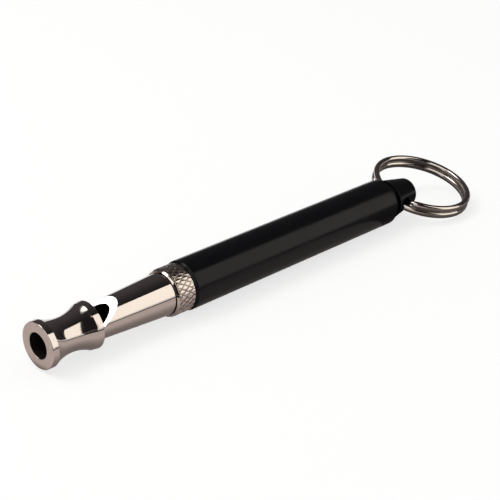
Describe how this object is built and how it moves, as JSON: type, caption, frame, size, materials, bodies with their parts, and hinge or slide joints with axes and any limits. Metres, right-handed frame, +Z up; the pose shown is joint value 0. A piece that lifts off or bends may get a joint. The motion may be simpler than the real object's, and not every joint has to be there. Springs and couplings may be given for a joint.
{
  "type": "training whistle",
  "caption": "Slim adjustable whistle for calling dogs: nickel-plated head with a slanted window, knurled lock nut, black barrel that screws to set the pitch, and a split ring.",
  "frame": {"origin": "centre of the mouth face, on the whistle's axis", "axes": "+X along the whistle from the mouth to the ring, +Z up as it lies with its window up, +Y across"},
  "size_m": [0.0939, 0.0177, 0.008],
  "materials": {
    "nickel_plate": "turned brass, nickel plated and polished",
    "bare_brass": "turned brass, left bare",
    "black_anodising": "turned aluminium, satin black anodised",
    "seal_rubber": "moulded black rubber",
    "ring_steel": "drawn spring steel wire, nickel plated"
  },
  "bodies": {
    "head": {"mouthpiece": "nickel_plate", "windway_plug": "bare_brass", "whistle_tube": "nickel_plate"},
    "seal": {"piston_seal": "seal_rubber"},
    "barrel": {"barrel": "black_anodising", "end_plug": "black_anodising", "tuning_rod": "bare_brass"},
    "lock_nut": {"lock_nut": "nickel_plate"},
    "ring": {"split_ring": "ring_steel"}
  },
  "joints": [
    {"name": "tuning_travel", "type": "slide", "parent": "head", "child": "seal", "axis": [1, 0, 0], "range_m": [0, 0.006]},
    {"name": "barrel_turn", "type": "hinge", "parent": "seal", "child": "barrel", "pos_m": [0.05, 0, 0], "axis": [1, 0, 0], "range_deg": [0, 2880]},
    {"name": "nut_turn", "type": "hinge", "parent": "barrel", "child": "lock_nut", "pos_m": [0.0247, 0, 0], "axis": [-1, 0, 0], "range_deg": [0, 180]},
    {"name": "ring_swing", "type": "hinge", "parent": "barrel", "child": "ring", "pos_m": [0.07685, 0, 0], "axis": [0, 0.9659, 0.2588], "range_deg": [-150, 145]}
  ],
  "couplings": [
    {"joint": "barrel_turn", "follows": "tuning_travel", "rad_per_m": 8377.6}
  ]
}
